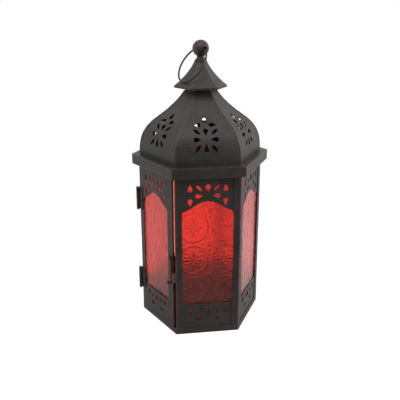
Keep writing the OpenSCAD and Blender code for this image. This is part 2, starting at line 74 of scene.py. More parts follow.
# Which way each side faces, in degrees round the upright axis
FACE_TURN = {
    "front": -90.0, "front_right": -30.0, "back_right": 30.0,
    "back": 90.0, "back_left": 150.0, "door": -150.0,
}
# Places closer than this count as one
TOUCH = 0.00001


# Settings

class FanousPaint(bpy.types.PropertyGroup):
    """Colours of the painted tin and its wear."""
    paint: bpy.props.FloatVectorProperty(
        name="Paint", description="Matt black paint on the tin", subtype="COLOR",
        size=3, min=0, max=1, default=(0.0138, 0.0126, 0.0116))
    copper: bpy.props.FloatVectorProperty(
        name="Copper Rub", description="Red-brown that shows where the paint is rubbed",
        subtype="COLOR", size=3, min=0, max=1, default=(0.135, 0.056, 0.038))
    steel: bpy.props.FloatVectorProperty(
        name="Steel", description="Plated steel of pins, nut and tube", subtype="COLOR",
        size=3, min=0, max=1, default=(0.26, 0.25, 0.24))
    fold_width: bpy.props.FloatProperty(
        name="Rubbed Fold", description="How far the rub reaches from a fold",
        subtype="DISTANCE", unit="LENGTH", min=0.0002, max=0.004, default=0.0011)
    edge_width: bpy.props.FloatProperty(
        name="Rubbed Edge", description="How far the rub reaches from a cut edge",
        subtype="DISTANCE", unit="LENGTH", min=0.0001, max=0.002, default=0.0006)
    bend: bpy.props.FloatProperty(
        name="Edge Radius", description="Rounding of the sheet's edges",
        subtype="DISTANCE", unit="LENGTH", min=0.00005, max=0.0004, default=0.00016)


class FanousGlass(bpy.types.PropertyGroup):
    """Pressed relief and colour of the panes."""
    tint: bpy.props.FloatVectorProperty(
        name="Glass Red", description="Colour of the clear field", subtype="COLOR",
        size=3, min=0, max=1, default=(1.0, 0.19, 0.14))
    # Painted shade: the deeper red laid into the pressed lines stands in for the shade their refraction
    # gives
    groove_shade: bpy.props.FloatVectorProperty(
        name="Painted Groove Shade", description="Deeper colour in the pressed lines", subtype="COLOR",
        size=3, min=0, max=1, default=(0.25, 0.012, 0.008))
    pitch_across: bpy.props.FloatProperty(
        name="Ring Pitch Across", description="Between two rings of a row",
        subtype="DISTANCE", unit="LENGTH", min=0.01, max=0.06, default=0.0322)
    pitch_up: bpy.props.FloatProperty(
        name="Ring Pitch Up", description="Between two rows of rings",
        subtype="DISTANCE", unit="LENGTH", min=0.01, max=0.06, default=0.0351)
    depth: bpy.props.FloatProperty(
        name="Relief Depth", description="Depth of the pressed lines",
        subtype="DISTANCE", unit="LENGTH", min=0.0001, max=0.0010, default=0.00075)
    grid: bpy.props.FloatProperty(
        name="Relief Grid", description="Size of the mesh that holds the relief",
        subtype="DISTANCE", unit="LENGTH", min=0.0004, max=0.002, default=0.0006)


class FanousStudio(bpy.types.PropertyGroup):
    """Camera, lamps and floor."""
    eye: bpy.props.FloatVectorProperty(
        name="Camera Place", description="Where the camera stands", subtype="TRANSLATION",
        unit="LENGTH", size=3, default=(-0.06773, -0.51998, 0.32207))
    yaw: bpy.props.FloatProperty(
        name="Camera Turn", description="Turn to the right of straight ahead",
        subtype="ANGLE", default=0.1282)
    pitch: bpy.props.FloatProperty(
        name="Camera Tilt", description="Tilt above level", subtype="ANGLE", default=-0.2755)
    lens: bpy.props.FloatProperty(
        name="Focal Length", description="Lens on a 36 mm sensor", unit="CAMERA",
        min=10, max=200, default=45.59)
    rise: bpy.props.FloatProperty(
        name="Lens Shift", description="Upright shift as a share of the frame",
        subtype="FACTOR", min=-0.5, max=0.5, default=-0.10)
    fill: bpy.props.FloatProperty(
        name="Room Light", description="Even light that the room gives", min=0, max=2,
        default=0.62)
    dark_side: bpy.props.FloatProperty(
        name="Dark Side", description="How dark the side behind the camera mirrors",
        subtype="FACTOR", min=0, max=1, default=0.75)
    floor_reach: bpy.props.FloatProperty(
        name="Floor Radius", description="How far the pale floor reaches",
        subtype="DISTANCE", unit="LENGTH", min=0.1, max=6, default=0.24)
    key: bpy.props.FloatProperty(
        name="Overhead Lamp", description="Power of the soft lamp above", subtype="POWER",
        unit="POWER", min=0, max=100, default=3.0)


# Node helpers

class Bench:
    """Short ways to place and join shader nodes in one tree."""

    def __init__(self, tree):
        self.tree = tree

    def node(self, kind, **settings):
        made = self.tree.nodes.new(kind)
        for key, value in settings.items():
            setattr(made, key, value)
        return made

    def feed(self, socket, value):
        if isinstance(value, bpy.types.NodeSocket):
            self.tree.links.new(value, socket)
        elif hasattr(value, "__len__") and socket.type == "RGBA" and len(value) == 3:
            socket.default_value = (*value, 1.0)
        else:
            socket.default_value = value

    def math(self, operation, *values, clamp=False):
        made = self.node("ShaderNodeMath", operation=operation, use_clamp=clamp)
        for socket, value in zip(made.inputs, values):
            self.feed(socket, value)
        return made.outputs[0]

    def blend(self, factor, first, second):
        made = self.node("ShaderNodeMix", data_type="RGBA")
        made.clamp_factor = True
        # A mix node's colours are its inputs 6 and 7 and its output 2
        self.feed(made.inputs[0], factor)
        self.feed(made.inputs[6], first)
        self.feed(made.inputs[7], second)
        return made.outputs[2]

    def ramp(self, value, low, high, start=0.0, end=1.0):
        made = self.node("ShaderNodeMapRange", clamp=True, interpolation_type="SMOOTHSTEP")
        for socket, number in zip(made.inputs, (value, low, high, start, end)):
            self.feed(socket, number)
        return made.outputs[0]

    def noise(self, place, scale, detail=2.0, roughness=0.5):
        made = self.node("ShaderNodeTexNoise")
        self.feed(made.inputs["Vector"], place)
        for name, value in (("Scale", scale), ("Detail", detail), ("Roughness", roughness)):
            self.feed(made.inputs[name], value)
        return made.outputs["Fac"]


def new_group(name, inputs, outputs):
    """A shader node group of plain numbers, with its bench, what it is given and what it gives."""
    tree = bpy.data.node_groups.new(name, "ShaderNodeTree")
    for title, default in inputs.items():
        socket = tree.interface.new_socket(name=title, in_out="INPUT", socket_type="NodeSocketFloat")
        socket.default_value = default
    for title in outputs:
        tree.interface.new_socket(name=title, in_out="OUTPUT", socket_type="NodeSocketFloat")
    bench = Bench(tree)
    return tree, bench, bench.node("NodeGroupInput").outputs, bench.node("NodeGroupOutput").inputs


def use_group(bench, tree, **values):
    """Places a group in a material with its own values, underscores standing for spaces."""
    made = bench.node("ShaderNodeGroup", node_tree=tree)
    for key, value in values.items():
        bench.feed(made.inputs[key.replace("_", " ")], value)
    return made


# Shared node groups

def fold_group():
    """Rub along the six upright folds, which all lie in planes through the lantern's axis."""
    tree, bench, given, result = new_group("Rubbed Folds", {"Reach": 0.001, "Raggedness": 1.0}, ["Mask"])
    place = bench.node("ShaderNodeTexCoord").outputs["Object"]
    split = bench.node("ShaderNodeSeparateXYZ")
    bench.feed(split.inputs[0], place)
    x, y = split.outputs[0], split.outputs[1]
    sixths = bench.math("DIVIDE", bench.math("ARCTAN2", y, x), math.tau / SIDES)
    past = bench.math("SUBTRACT", sixths, bench.math("ROUND", sixths))
    past = bench.math("MULTIPLY", past, math.tau / SIDES)
    radius = bench.math("ADD", bench.math("MULTIPLY", x, x), bench.math("MULTIPLY", y, y))
    radius = bench.math("SQRT", radius)
    away = bench.math("ABSOLUTE", bench.math("MULTIPLY", radius, bench.math("SINE", past)))
    ragged = bench.math("SUBTRACT", bench.noise(place, 260.0, 3.0, 0.65), 0.5)
    ragged = bench.math("MULTIPLY", ragged, given["Raggedness"])
    ragged = bench.math("MULTIPLY", ragged, bench.math("MULTIPLY", given["Reach"], 1.6))
    away = bench.math("ADD", away, ragged)
    near = bench.ramp(away, bench.math("MULTIPLY", given["Reach"], 0.25), given["Reach"], 1.0, 0.0)
    patchy = bench.ramp(bench.noise(place, 34.0, 3.0, 0.6), 0.36, 0.62, 0.35, 1.0)
    bench.feed(result["Mask"], bench.math("MULTIPLY", near, patchy))
    return tree


def edge_group():
    """Rub on every cut or bent edge, found from how far a rounded normal leans."""
    tree, bench, given, result = new_group("Rubbed Edges", {"Reach": 0.0006, "Cover": 0.5}, ["Mask"])
    place = bench.node("ShaderNodeTexCoord").outputs["Object"]
    rounded = bench.node("ShaderNodeBevel", samples=4)
    bench.feed(rounded.inputs["Radius"], given["Reach"])
    lean = bench.node("ShaderNodeVectorMath", operation="DOT_PRODUCT")
    bench.feed(lean.inputs[0], rounded.outputs[0])
    bench.feed(lean.inputs[1], bench.node("ShaderNodeNewGeometry").outputs["Normal"])
    edge = bench.ramp(lean.outputs["Value"], 0.93, 0.985, 1.0, 0.0)
    low = bench.math("SUBTRACT", 0.78, bench.math("MULTIPLY", given["Cover"], 0.5))
    patchy = bench.ramp(bench.noise(place, 120.0, 4.0, 0.7), low, bench.math("ADD", low, 0.12))
    bench.feed(result["Mask"], bench.math("MULTIPLY", edge, patchy))
    return tree


def grain_group():
    """Sprayed paint: a fine orange-peel height, soft clouds, small pale specks and broad stains."""
    tree, bench, given, result = new_group(
        "Sprayed Paint", {"Peel Size": 900.0}, ["Height", "Cloud", "Specks", "Stain"])
    place = bench.node("ShaderNodeTexCoord").outputs["Object"]
    peel = bench.noise(place, given["Peel Size"], 2.0, 0.5)
    fine = bench.noise(place, bench.math("MULTIPLY", given["Peel Size"], 3.1), 1.0, 0.5)
    height = bench.math("ADD", bench.math("MULTIPLY", peel, 0.7), bench.math("MULTIPLY", fine, 0.3))
    bench.feed(result["Height"], height)
    bench.feed(result["Cloud"], bench.ramp(bench.noise(place, 46.0, 4.0, 0.6), 0.3, 0.7))
    bench.feed(result["Specks"], bench.ramp(bench.noise(place, 700.0, 1.0, 0.4), 0.7, 0.78))
    bench.feed(result["Stain"], bench.ramp(bench.noise(place, 27.0, 3.0, 0.6), 0.48, 0.66))
    return tree


def dust_group():
    """Thin dust that settles on faces turned upwards."""
    tree, bench, given, result = new_group("Settled Dust", {"Amount": 0.4}, ["Mask"])
    place = bench.node("ShaderNodeTexCoord").outputs["Object"]
    split = bench.node("ShaderNodeSeparateXYZ")
    bench.feed(split.inputs[0], bench.node("ShaderNodeNewGeometry").outputs["Normal"])
    upward = bench.ramp(split.outputs[2], 0.35, 0.95)
    patchy = bench.ramp(bench.noise(place, 85.0, 4.0, 0.62), 0.35, 0.75)
    settled = bench.math("MULTIPLY", upward, patchy)
    bench.feed(result["Mask"], bench.math("MULTIPLY", settled, given["Amount"]))
    return tree


def shared_groups():
    """The node groups that several materials use, built once."""
    kept = bpy.data.node_groups
    makers = {"Rubbed Folds": fold_group, "Rubbed Edges": edge_group,
              "Sprayed Paint": grain_group, "Settled Dust": dust_group}
    return {name: kept.get(name) or make() for name, make in makers.items()}


# Finishes

# Colours of specks and dust on the paint and of steel rubbed bright
SPECKS = (0.055, 0.045, 0.038)
DUST = (0.085, 0.075, 0.062)
BRIGHT_STEEL = (0.5, 0.47, 0.43)

# Tints of the paint's sheen: neutral, and the browner one of the door
NEUTRAL = (0.99, 0.985, 0.975)
BROWNER = (0.97, 0.84, 0.77)


class Finish(NamedTuple):
    """How a paint is worn: how much of its edges is rubbed, how far the rub reaches from edges and
    folds as a multiple of the set width, how strong it is, how much dust, tan stain and bare metal
    show, and how rough the paint is and what tint its sheen has."""
    edges: float = 0.55
    edge_reach: float = 1.0
    fold_reach: float = 1.0
    rub_depth: float = 0.55
    dust: float = 0.35
    tan: float = 0.08
    bare: float = 0.0
    roughness: float = 0.5
    sheen: tuple = (1.0, 0.965, 0.94)


FINISHES = {
    "Painted Pan": Finish(edges=0.75, rub_depth=0.7),
    "Painted Posts": Finish(edges=0.8, fold_reach=1.5, rub_depth=0.75),
    "Painted Panels": Finish(edges=0.62, fold_reach=0.0),
    "Painted Door": Finish(edges=0.7, fold_reach=0.0, tan=0.25, sheen=BROWNER),
    "Painted Hinges": Finish(edges=0.5, fold_reach=0.0),
    "Worn Latch": Finish(edges=1.0, fold_reach=0.0, rub_depth=0.8, dust=0.1, tan=0.5, bare=0.7,
                         roughness=0.46),
    "Painted Skirt": Finish(edges=1.0, edge_reach=2.4, rub_depth=1.0, dust=0.0, sheen=NEUTRAL),
    "Painted Dome": Finish(edges=0.5, fold_reach=1.8, rub_depth=0.45, sheen=NEUTRAL),
    "Painted Solder": Finish(edges=0.3, fold_reach=0.0, rub_depth=0.5, tan=0.45),
    "Painted Cap": Finish(edges=0.45, fold_reach=3.0, rub_depth=0.4, dust=0.2, sheen=NEUTRAL),
    "Painted Finial": Finish(edges=0.35, fold_reach=0.0, dust=0.1, tan=0.2, roughness=0.42,
                             sheen=NEUTRAL),
    "Black Wire": Finish(edges=0.0, fold_reach=0.0, dust=0.0, sheen=NEUTRAL),
    "Painted Dish": Finish(edges=0.5, fold_reach=0.0),
}


def begin_material(name):
    """An empty node material with its shader already joined to the output."""
    material = bpy.data.materials.new(name)
    material.use_nodes = True
    material.node_tree.nodes.clear()
    bench = Bench(material.node_tree)
    shader = bench.node("ShaderNodeBsdfPrincipled")
    out = bench.node("ShaderNodeOutputMaterial")
    bench.feed(out.inputs["Surface"], shader.outputs[0])
    return material, bench, shader


def shade(colour, factor):
    """A colour made darker or lighter by a factor."""
    return tuple(channel * factor for channel in colour)


def roughen(bench, shader, height, strength, distance):
    """Lays a fine height under a shader's surface."""
    bump = bench.node("ShaderNodeBump")
    bump.inputs["Strength"].default_value = strength
    bump.inputs["Distance"].default_value = distance
    bench.feed(bump.inputs["Height"], height)
    bench.feed(shader.inputs["Normal"], bump.outputs[0])


def painted_tin(name):
    """Matt black paint over tin, rubbed to copper-brown on folds and cut edges."""
    made = bpy.data.materials.get(name)
    if made:
        return made
    finish = FINISHES[name]
    paint = bpy.context.scene.fanous_paint
    black, copper = tuple(paint.paint), tuple(paint.copper)
    groups = shared_groups()
    material, bench, shader = begin_material(name)
    grain = use_group(bench, groups["Sprayed Paint"], Peel_Size=900.0).outputs
    dusty = use_group(bench, groups["Settled Dust"], Amount=finish.dust).outputs[0]
    reach = paint.edge_width * finish.edge_reach
    rub = use_group(bench, groups["Rubbed Edges"], Reach=reach, Cover=finish.edges).outputs[0]
    if finish.fold_reach > 0:
        reach = paint.fold_width * finish.fold_reach
        fold = use_group(bench, groups["Rubbed Folds"], Reach=reach, Raggedness=1.0)
        rub = bench.math("MAXIMUM", rub, fold.outputs[0])

    base = bench.blend(grain["Cloud"], black, shade(black, 1.7))
    base = bench.blend(bench.math("MULTIPLY", grain["Specks"], 0.35), base, SPECKS)
    base = bench.blend(bench.math("MULTIPLY", grain["Stain"], finish.tan), base, copper)
    base = bench.blend(finish.bare, base, shade(copper, 0.9))
    base = bench.blend(dusty, base, DUST)
    base = bench.blend(bench.math("MULTIPLY", rub, finish.rub_depth), base, copper)
    bench.feed(shader.inputs["Base Color"], base)
    rough = bench.math("ADD", finish.roughness - 0.05, bench.math("MULTIPLY", grain["Cloud"], 0.1))
    rough = bench.math("ADD", rough, bench.math("MULTIPLY", dusty, 0.3))
    rough = bench.math("SUBTRACT", rough, bench.math("MULTIPLY", rub, 0.12), clamp=True)
    bench.feed(shader.inputs["Roughness"], rough)
    metal = bench.math("MAXIMUM", bench.math("MULTIPLY", rub, 0.45 * finish.rub_depth), finish.bare)
    bench.feed(shader.inputs["Metallic"], metal)
    shader.inputs["Specular IOR Level"].default_value = 0.42
    shader.inputs["Specular Tint"].default_value = (*finish.sheen, 1.0)
    roughen(bench, shader, grain["Height"], 0.35, 0.00006)
    return material


def plated_steel(name):
    """Dull plated steel with clouded patches and brighter edges."""
    made = bpy.data.materials.get(name)
    if made:
        return made
    paint = bpy.context.scene.fanous_paint
    steel = tuple(paint.steel)
    groups = shared_groups()
    material, bench, shader = begin_material(name)
    grain = use_group(bench, groups["Sprayed Paint"], Peel_Size=1500.0).outputs
    edge = use_group(bench, groups["Rubbed Edges"], Reach=paint.edge_width, Cover=0.9).outputs[0]
    base = bench.blend(grain["Cloud"], shade(steel, 0.42), steel)
    base = bench.blend(bench.math("MULTIPLY", edge, 0.6), base, BRIGHT_STEEL)
    bench.feed(shader.inputs["Base Color"], base)
    rough = bench.math("ADD", 0.3, bench.math("MULTIPLY", grain["Cloud"], 0.2))
    bench.feed(shader.inputs["Roughness"], rough)
    shader.inputs["Metallic"].default_value = 0.9
    roughen(bench, shader, grain["Height"], 0.3, 0.00004)
    return material


def pressed_glass(name):
    """Red glass whose pressed lines are coloured a deeper red as painted shade, in place of the shade
    their refraction gives; the streaks darken it a little too.
    """
    made = bpy.data.materials.get(name)
    if made:
        return made
    glass = bpy.context.scene.fanous_glass
    material, bench, shader = begin_material(name)
    relief = bench.node("ShaderNodeAttribute", attribute_name="relief").outputs["Fac"]
    streaked = bench.node("ShaderNodeAttribute", attribute_name="streaks").outputs["Fac"]
    tall = bench.node("ShaderNodeMapping")
    bench.feed(tall.inputs["Vector"], bench.node("ShaderNodeTexCoord").outputs["Object"])
    tall.inputs["Scale"].default_value = (1.0, 1.0, 0.2)
    streak = bench.ramp(bench.noise(tall.outputs[0], 270.0, 2.0, 0.55), 0.35, 0.65)
    streak = bench.math("MULTIPLY", streaked, streak)
    # Painted shade: the pressed lines, and a little the streaks, are coloured toward the groove red in
    # place of the shade that refraction gives them
    line = bench.math("SUBTRACT", relief, 0.12, clamp=True)
    line = bench.math("MULTIPLY", bench.math("MULTIPLY", line, 1.2, clamp=True), 0.62)
    line = bench.math("MAXIMUM", line, bench.math("MULTIPLY", streak, 0.2))
    bench.feed(shader.inputs["Base Color"], bench.blend(line, tuple(glass.tint), tuple(glass.groove_shade)))
    rough = bench.math("SUBTRACT", 0.3, bench.math("MULTIPLY", streaked, 0.05))
    bench.feed(shader.inputs["Roughness"], rough)
    shader.inputs["IOR"].default_value = 1.46
    shader.inputs["Specular IOR Level"].default_value = 0.3
    shader.inputs["Transmission Weight"].default_value = 0.965
    roughen(bench, shader, streak, 0.3, 0.0003)
    return material


# Mesh helpers

# How the loose triangles of a node are joined: corners closer than the first distance become one,
# edges shorter than the second go, and faces that meet flatter than the angle become one
MERGE_DISTANCE = 0.000002
SLIVER = 0.000001
FLAT_ANGLE = math.radians(0.15)

# From which angle an edge is rounded, stays sharp on sheets, and stays sharp on glass and solder
BEND_ANGLE = math.radians(32)
SHEET_ANGLE = math.radians(35)
CAST_ANGLE = math.radians(60)

# Rounding of the edges of pierced sheets and pins, of hinge leaves and of the latch's lever
PIERCED_BEND = 0.00012
LEAF_BEND = 0.00014
LEVER_BEND = 0.0002
NO_BEND = 0.0


def node_points(node):
    """Where the corners of a node's mesh stand."""
    return np.array([vertex.co for vertex in frame["nodes"][node].data.vertices])


def outward(mesh):
    """Takes a mesh's faces, turned to point outwards, and removes the mesh."""
    bm = bmesh.new()
    bm.from_mesh(mesh)
    bpy.data.meshes.remove(mesh)
    bmesh.ops.recalc_face_normals(bm, faces=bm.faces)
    return bm


def plain_mesh(name, bm, material, smooth_angle=None):
    """A finished object at the origin, in one material, smooth where its faces meet flatly."""
    mesh = bpy.data.meshes.new(name)
    bm.to_mesh(mesh)
    bm.free()
    mesh.materials.append(material)
    piece = bpy.data.objects.new(name, mesh)
    bpy.context.scene.collection.objects.link(piece)
    if smooth_angle is not None:
        mesh.shade_smooth()
        mesh.set_sharp_from_angle(angle=smooth_angle)
    return piece


def settle(piece, body, slot, *nodes):
    """Hangs a finished piece on its body and hides the nodes that it stands for; the slot is not used."""
    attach(piece, body)
    if nodes:
        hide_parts(*nodes)


def folded(node, material, slot, bend=None):
    """A merged copy of a node with softened edges, in place of the node."""
    bm = bmesh.new()
    bm.from_mesh(frame["nodes"][node].data)
    bmesh.ops.remove_doubles(bm, verts=bm.verts, dist=MERGE_DISTANCE)
    bmesh.ops.dissolve_degenerate(bm, edges=bm.edges, dist=SLIVER)
    bmesh.ops.dissolve_limit(bm, angle_limit=FLAT_ANGLE, verts=bm.verts, edges=bm.edges)
    piece = plain_mesh(node + "_tin", bm, material, SHEET_ANGLE)
    width = bpy.context.scene.fanous_paint.bend if bend is None else bend
    if width > 0:
        soften = piece.modifiers.new("Soft Edges", "BEVEL")
        soften.width = width
        soften.segments = 2
        soften.limit_method = "ANGLE"
        soften.angle_limit = BEND_ANGLE
        soften.harden_normals = True
    settle(piece, BODY_OF[node], slot, node)


# Pressed glass

# Pressed pattern, in shares of the pitch: each circle's radius, half width and strength, and each
# kind of petal's turn, inner end, outer end and half width, on the rings and in the gaps
CIRCLES = ((0.44, 0.027, 1.0), (0.385, 0.014, 0.3), (0.045, 0.02, 1.0))
RING_PETALS = ((0.0, 0.07, 0.3, 0.034), (math.pi / 4, 0.07, 0.19, 0.032))
GAP_PETALS = ((0.0, 0.02, 0.09, 0.026), (math.pi / 4, 0.03, 0.1, 0.02))
DROP_RISE, DROP_SIZE = 0.27, 0.032
DOTS, DOT_RADIUS, DOT_SIZE = 8, 0.185, 0.028

# Rate along or up the pane, in radians per metre, of two waves that cross, each with the rate of
# a slower wave that bends it and how far that bends it
DASHES = ((420, 190, 2.3), (1300, 260, 1.6))
RIPPLE = ((910, 130, 2.1), (310, 400, 1.7))

# Place on the front pane of the middle between four rings, and how far it moves side by side
GAP_ALONG, GAP_UP = 0.0018, 0.1017
SHIFT_ALONG, SHIFT_UP = 0.011, 0.007
# Sides whose panes show more streaks than rings, and the share of the relief that is left there
STREAKED = {"door", "front_right"}
STREAKED_INK = 0.3


def side_box(node, turn):
    """A node's lowest and highest place along its side and up, and how far out its two faces are."""
    points = node_points(node)
    angle = math.radians(turn)
    out = points[:, 0] * math.cos(angle) + points[:, 1] * math.sin(angle)
    along = -points[:, 0] * math.sin(angle) + points[:, 1] * math.cos(angle)
    up = points[:, 2]
    return (along.min(), up.min()), (along.max(), up.max()), out.min(), out.max()


def on_side(turn, along, up, away):
    """Points on a side's own grid: along the side, up, and away from the axis."""
    angle = math.radians(turn)
    out = np.array([math.cos(angle), math.sin(angle)])
    side = np.array([-math.sin(angle), math.cos(angle)])
    flat = np.multiply.outer(away, out) + np.multiply.outer(along, side)
    return np.concatenate([flat, up[..., None]], axis=-1)


def circle(r, radius, half):
    """A pressed line round a cell's middle."""
    return np.clip(1.0 - np.abs(r - radius) / half, 0.0, 1.0)


def dab(x, y, size):
    """A small round hollow."""
    return np.clip(1.25 - np.hypot(x, y) / size, 0.0, 1.0)


def petals(r, t, turn, inner, outer, half):
    """Four oval hollows that point away from a cell's middle."""
    lobe = (t - turn) / (math.pi / 2)
    lobe = (lobe - np.round(lobe)) * (math.pi / 2)
    middle, reach = (inner + outer) / 2, (outer - inner) / 2
    oval = np.hypot((r * np.cos(lobe) - middle) / reach, r * np.sin(lobe) / half)
    return np.clip(1.25 - oval, 0.0, 1.0)


def bent_wave(way, other, rate, slow_rate, bend):
    """A wave one way, bent by a slower wave the other way."""
    return np.sin(way * rate + bend * np.sin(other * slow_rate))


def crossed_waves(along, up, waves):
    """Two bent waves that cross, one along the side and one up."""
    return bent_wave(along, up, *waves[0]) * bent_wave(up, along, *waves[1])


def pressed_relief(along, up, shift):
    """How deep rings, flowers and dashes are pressed at each point, 0 to 1, and the ripple there."""
    glass = bpy.context.scene.fanous_glass
    u = (along - shift[0]) / glass.pitch_across
    v = (up - shift[1]) / glass.pitch_up

    def cell(a, b):
        x, y = a - np.round(a), b - np.round(b)
        return x, y, np.hypot(x, y), np.arctan2(y, x)

    x, y, r, t = cell(u, v)
    parts = [strength * circle(r, radius, half) for radius, half, strength in CIRCLES]
    parts += [petals(r, t, *shape) for shape in RING_PETALS]
    parts += [dab(x, y - rise, DROP_SIZE) for rise in (-DROP_RISE, DROP_RISE)]
    x, y, r, t = cell(u + 0.5, v + 0.5)
    parts += [petals(r, t, *shape) for shape in GAP_PETALS]
    for number in range(DOTS):
        angle = math.tau * number / DOTS
        parts.append(dab(x - DOT_RADIUS * math.cos(angle), y - DOT_RADIUS * math.sin(angle), DOT_SIZE))
    parts.append(0.7 * np.clip(crossed_waves(along, up, DASHES) - 0.25, 0.0, 1.0))
    return np.maximum.reduce(parts), 0.5 + 0.5 * crossed_waves(along, up, RIPPLE)


def pane(node, turn, shift, ink, streaks):
    """A pane with the relief pressed into its outer face, its lines and streaks as strong as given."""
    glass = bpy.context.scene.fanous_glass
    low, high, inner_face, outer_face = side_box(node, turn)
    columns = int((high[0] - low[0]) / glass.grid)
    rows = int((high[1] - low[1]) / glass.grid)
    along, up = np.meshgrid(np.linspace(low[0], high[0], columns), np.linspace(low[1], high[1], rows))
    deep, ripple = pressed_relief(along, up, shift)
    border = np.minimum.reduce([along - low[0], high[0] - along, up - low[1], high[1] - up])
    calm = np.clip(border / (2 * glass.grid), 0, 1)
    sunk = calm * glass.depth * ink * (deep + 0.1 * ripple)
    front = on_side(turn, along, up, outer_face - sunk).reshape(-1, 3)

    first = rows * columns
    index = np.arange(first).reshape(rows, columns)
    quads = np.stack([index[:-1, :-1], index[:-1, 1:], index[1:, 1:], index[1:, :-1]], axis=-1)
    loop = np.concatenate([index[0, :-1], index[:-1, -1], index[-1, :0:-1], index[:0:-1, 0]])
    ring = np.arange(len(loop))
    walls = np.stack([loop, first + ring, first + np.roll(ring, -1), np.roll(loop, -1)], axis=-1)
    back = on_side(turn, along.reshape(-1)[loop], up.reshape(-1)[loop], np.full(len(loop), inner_face))
    faces = quads.reshape(-1, 4).tolist() + walls.tolist() + [(first + ring[::-1]).tolist()]
    mesh = bpy.data.meshes.new(node)
    mesh.from_pydata(np.concatenate([front, back]).tolist(), [], faces)
    piece = plain_mesh(node + "_pressed", outward(mesh), pressed_glass("Pressed Red Glass"), CAST_ANGLE)

    pressed = np.zeros(first + len(loop), np.float32)
    pressed[:first] = ink * (calm * deep).reshape(-1)
    for name, values in (("relief", pressed), ("streaks", np.full_like(pressed, streaks))):
        piece.data.attributes.new(name, "FLOAT", "POINT").data.foreach_set("value", values)
    settle(piece, BODY_OF[node], "pressed_glass", node)


# Solder

# Share of each line where its bead starts and ends
BEAD_START, BEAD_END = 0.012, 0.985
# Least and greatest size of a tack each way, in shares of its width
TACK_LEAST, TACK_MOST = (0.75, 0.6, 0.4), (1.1, 0.9, 0.55)
# Inset and rise of the beads that fill the finial's foot
FOOT_BEADS = ((0.0012, 0.0006), (0.0024, 0.002), (0.0032, 0.0033))

# An outer face looks at least this much along a way that points out and rises by this much
OUTER_FACE, OUT_RISE = 0.05, 0.3
# A mitred end looks more than this across its seam's plane, and a point on the seam is this near it
MITRED_END = 0.99
ON_SEAM = 0.000004


class Flow:
    """Short ways to place and join the nodes of a geometry tree."""

    def __init__(self, name, inputs):
        self.tree = bpy.data.node_groups.new(name, "GeometryNodeTree")
        face = self.tree.interface
        face.new_socket(name="Geometry", in_out="INPUT", socket_type="NodeSocketGeometry")
        self.keys = {}
        for title, kind in inputs:
            self.keys[title] = face.new_socket(name=title, in_out="INPUT", socket_type=kind).identifier
        face.new_socket(name="Geometry", in_out="OUTPUT", socket_type="NodeSocketGeometry")
        self.given = self.node("NodeGroupInput").outputs

    def node(self, kind, links=None, **settings):
        made = self.tree.nodes.new(kind)
        for key, value in settings.items():
            setattr(made, key, value)
        for key, value in (links or {}).items():
            if isinstance(value, bpy.types.NodeSocket):
                self.tree.links.new(value, made.inputs[key])
            else:
                made.inputs[key].default_value = value
        return made

    def value(self, operation, *values):
        return self.node("ShaderNodeMath", dict(enumerate(values)), operation=operation).outputs[0]

    def finish(self, geometry, material):
        real = self.node("GeometryNodeRealizeInstances", {"Geometry": geometry})
        painted = self.node("GeometryNodeSetMaterial", {
            "Geometry": real.outputs[0], "Material": material})
        self.node("NodeGroupOutput", {"Geometry": painted.outputs[0]})


def bead_flow():
    """A run of solder: an uneven bead drawn along every line of the mesh."""
    flow = Flow("Solder Bead", [("Radius", "NodeSocketFloat"), ("Step", "NodeSocketFloat"),
                                ("Unevenness", "NodeSocketFloat"), ("Seed", "NodeSocketFloat"),
                                ("Material", "NodeSocketMaterial")])
    given = flow.given
    line = flow.node("GeometryNodeMeshToCurve", {"Mesh": given["Geometry"]})
    cut = flow.node("GeometryNodeTrimCurve", {
        "Curve": line.outputs[0], "Start": BEAD_START, "End": BEAD_END})
    even = flow.node("GeometryNodeResampleCurve", {
        "Curve": cut.outputs[0], "Length": given["Step"]}, mode="LENGTH")
    rough = flow.node("ShaderNodeTexNoise", {
        "W": given["Seed"], "Scale": 420.0, "Detail": 2.0}, noise_dimensions="4D")
    swell = flow.value("MULTIPLY", flow.value("SUBTRACT", rough.outputs["Fac"], 0.5), given["Unevenness"])
    thick = flow.value("MULTIPLY", given["Radius"], flow.value("ADD", swell, 1.0))
    round_end = flow.node("GeometryNodeCurvePrimitiveCircle", {"Resolution": 8, "Radius": 1.0})
    bead = flow.node("GeometryNodeCurveToMesh", {
        "Curve": even.outputs[0], "Profile Curve": round_end.outputs[0], "Scale": thick,
        "Fill Caps": True})
    flow.finish(bead.outputs[0], given["Material"])
    return flow


def tack_flow():
    """Dabs of solder set at even steps along every line of the mesh."""
    flow = Flow("Solder Tacks", [("Pitch", "NodeSocketFloat"), ("Width", "NodeSocketFloat"),
                                 ("Seed", "NodeSocketInt"), ("Material", "NodeSocketMaterial")])
    given = flow.given
    line = flow.node("GeometryNodeMeshToCurve", {"Mesh": given["Geometry"]})
    spots = flow.node("GeometryNodeResampleCurve", {
        "Curve": line.outputs[0], "Length": given["Pitch"]}, mode="LENGTH")
    half = flow.value("MULTIPLY", given["Width"], 0.5)
    dab_shape = flow.node("GeometryNodeMeshIcoSphere", {"Radius": half, "Subdivisions": 3})
    # A random node's numbers are its inputs 2 and 3 and its output 1, and its vectors the first ones
    turn = flow.node("FunctionNodeRandomValue", {
        2: 0.0, 3: math.tau, "Seed": given["Seed"]}, data_type="FLOAT")
    upright = flow.node("ShaderNodeCombineXYZ", {"Z": turn.outputs[1]})
    size = flow.node("FunctionNodeRandomValue", {
        0: TACK_LEAST, 1: TACK_MOST, "Seed": given["Seed"]}, data_type="FLOAT_VECTOR")
    copies = flow.node("GeometryNodeInstanceOnPoints", {
        "Points": spots.outputs[0], "Instance": dab_shape.outputs[0],
        "Rotation": upright.outputs[0], "Scale": size.outputs[0]})
    flow.finish(copies.outputs[0], given["Material"])
    return flow


